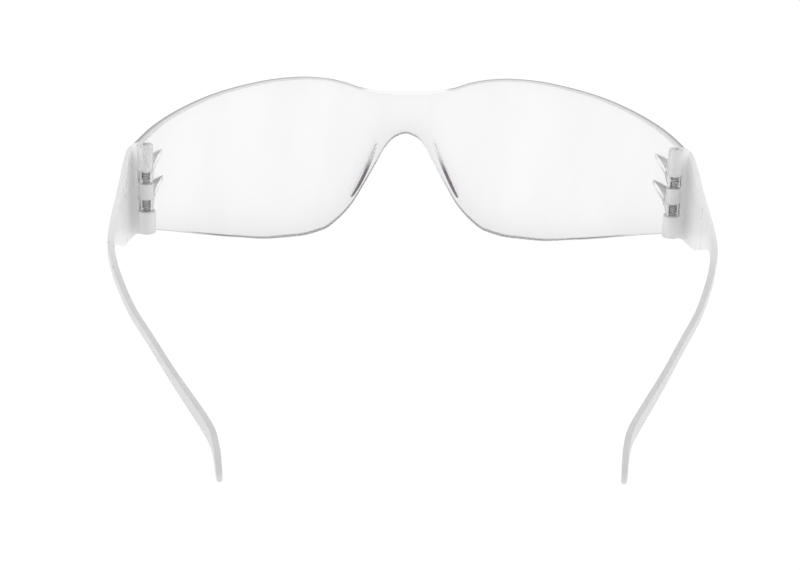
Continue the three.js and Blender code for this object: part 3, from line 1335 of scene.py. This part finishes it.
        # painted shade: darker on faces that look up, and darker along the arm towards its tip
        upward = self.upward_tone * eased(normal.z / 0.8)
        tone = self.arm_tone * eased((self.arm_start - point.y) / self.arm_fade)
        return tone + upward, eased(off_knuckles / self.matte_fade)

    def build(self, finish: Finish) -> list[bpy.types.Object]:
        """Make both temples.

        Args:
            finish: What they are made of.

        Returns:
            The right piece and the left piece.
        """
        right = self.solid()
        toned(right, self.tone)
        left = mirrored(right)
        return [
            dressed("right_temple_piece", right, finish, "right_arm"),
            dressed("left_temple_piece", left, finish, "left_arm"),
        ]


@dataclass
class HingeScrew:
    """The thread-forming screw of the right-hand hinge."""

    hinge: HingeStack
    tip_length: float = 1.2
    tip_share: float = 0.55
    in_head: float = 0.1
    head_rounding: float = 0.14
    slot_width: float = 0.3
    slot_depth: float = 0.35

    def shank(self) -> BMesh:
        """Turn the threaded shank, and taper its lower end.

        Returns:
            The closed shank.
        """
        hinge = self.hinge
        foot, shoulder = hinge.screw_foot, hinge.top - hinge.head_recess - hinge.head_height
        core, crest = hinge.core_radius, hinge.thread_radius
        ends = (foot, shoulder + self.in_head)
        mesh = threaded_rod(hinge.axis, core, crest, hinge.pitch, ends)
        for vert in mesh.verts:
            share = min(max((vert.co.z - foot) / self.tip_length, 0), 1)
            slim = blend_between(self.tip_share, 1, share)
            vert.co.x = blend_between(hinge.axis.x, vert.co.x, slim)
            vert.co.y = blend_between(hinge.axis.y, vert.co.y, slim)
        return mesh

    def tone(self, point: Vector, normal: Vector) -> Pair:
        """Find the painted shade on the steel at a spot, darkest on the thread's crest.

        Args:
            point: The spot.
            normal: The way its face looks.

        Returns:
            The painted shade, and a zero, because the steel is bright all over.
        """
        span = self.hinge.thread_radius - self.hinge.core_radius
        height = self.hinge.from_axis(point) - self.hinge.core_radius
        # painted shade, darkest on the thread's crest
        return eased(height / span) ** 3, 0.0

    def solid(self) -> BMesh:
        """Join the shank and the slotted head.

        Returns:
            The right-hand screw.
        """
        hinge = self.hinge
        top = hinge.top - hinge.head_recess
        under = top - hinge.head_height
        head = drum(hinge.axis, hinge.head_radius, under, top, self.head_rounding)
        half, reach = self.slot_width / 2, hinge.head_radius + PAST
        slot = block(
            hinge.axis.xy.to_3d() + Vector((-reach, -half, top - self.slot_depth)),
            hinge.axis.xy.to_3d() + Vector((reach, half, top + PAST)),
        )
        return joined(joined(self.shank(), head, Joining.ADD), slot, Joining.CUT)

    def build(self, finish: Finish) -> list[bpy.types.Object]:
        """Make both screws.

        Args:
            finish: What they are made of.

        Returns:
            The right piece and the left piece.
        """
        right = self.solid()
        toned(right, self.tone)
        left = mirrored(right)
        return [
            dressed("right_hinge_screw_piece", right, finish, "front"),
            dressed("left_hinge_screw_piece", left, finish, "front"),
        ]


# ------------------------------------------------------------------------- the studio


@dataclass
class Studio:
    """The white table, the soft light and the camera.

    Its lengths and places are in metres and its turns in degrees.
    """

    table_half: float = 6.0
    table_drop: float = 0.0003
    table_grey: float = 0.08
    table_roughness: float = 0.9
    table_glow: float = 0.95
    sky: float = 1.1
    light_place: tuple[float, float, float] = (0.2, 0.5, 2.0)
    light_size: float = 1.6
    light_power: float = 2.0
    focal_length: float = 117.0
    sensor_width: float = 36.0
    nearest: float = 0.01
    camera_place: tuple[float, float, float] = (-0.02349, -0.57576, 0.26392)
    camera_turn: tuple[float, float, float] = (-2.02, 66.63, 1.24)

    def lay_table(self) -> None:
        """Lay the white table, which gives off a little light of its own."""
        mesh = bmesh.new()
        bmesh.ops.create_grid(mesh, x_segments=1, y_segments=1, size=self.table_half)
        bmesh.ops.translate(mesh, verts=mesh.verts[:], vec=(0, 0, -self.table_drop))
        table = as_object("table", mesh)
        board = NodeBoard("white_table")
        shader = board.add("BsdfPrincipled", Roughness=self.table_roughness)
        shader.inputs["Base Color"].default_value = (*[self.table_grey] * 3, 1)
        shader.inputs["Specular IOR Level"].default_value = 0
        shader.inputs["Emission Color"].default_value = (1, 1, 1, 1)
        shader.inputs["Emission Strength"].default_value = self.table_glow
        board.link(shader.outputs["BSDF"], board.output.inputs["Surface"])
        table.data.materials.append(board.material)

    def light_room(self) -> None:
        """Fill the room with an even light."""
        world = bpy.data.worlds.new("studio")
        world.use_nodes = True
        backdrop = world.node_tree.nodes["Background"]
        backdrop.inputs["Color"].default_value = (1, 1, 1, 1)
        backdrop.inputs["Strength"].default_value = self.sky
        bpy.context.scene.world = world

    def hang_light(self) -> None:
        """Hang one large soft light that points at the glasses."""
        lamp = bpy.data.lights.new("softbox", "AREA")
        lamp.size = self.light_size
        lamp.energy = self.light_power
        holder = bpy.data.objects.new("softbox", lamp)
        holder.location = self.light_place
        holder.rotation_euler = (-holder.location).to_track_quat("-Z", "Y").to_euler()
        bpy.context.scene.collection.objects.link(holder)

    def set_camera(self) -> None:
        """Set the camera behind and above the glasses."""
        optics = bpy.data.cameras.new("camera")
        optics.lens = self.focal_length
        optics.sensor_width = self.sensor_width
        optics.clip_start = self.nearest
        camera = bpy.data.objects.new("camera", optics)
        yaw, tilt, roll = (math.radians(angle) for angle in self.camera_turn)
        turn = Matrix.Rotation(yaw, 4, "Z") @ Matrix.Rotation(tilt, 4, "X")
        turn @= Matrix.Rotation(roll, 4, "Z")
        camera.matrix_world = Matrix.Translation(self.camera_place) @ turn
        bpy.context.scene.collection.objects.link(camera)
        bpy.context.scene.camera = camera

    def build(self) -> None:
        """Set up the whole studio."""
        self.set_camera()
        self.lay_table()
        self.light_room()
        self.hang_light()
        bpy.context.scene.view_settings.view_transform = "Standard"


def main() -> None:
    """Build the glasses and the studio."""
    logging.basicConfig(level=logging.INFO, format="%(name)s: %(message)s")
    Studio().build()
    hinge = HingeStack.from_joint("right_temple_fold")
    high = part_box("lens")[1] / MM
    clear, frosted, steel = ClearPolycarbonate(), FrostedPolycarbonate(), PlatedSteel()
    Lens(hinge, front_y=high.y, half_width=high.x).build(clear)
    Temple(hinge).build(frosted)
    HingeScrew(hinge).build(steel)


if __name__ == "__main__":
    main()
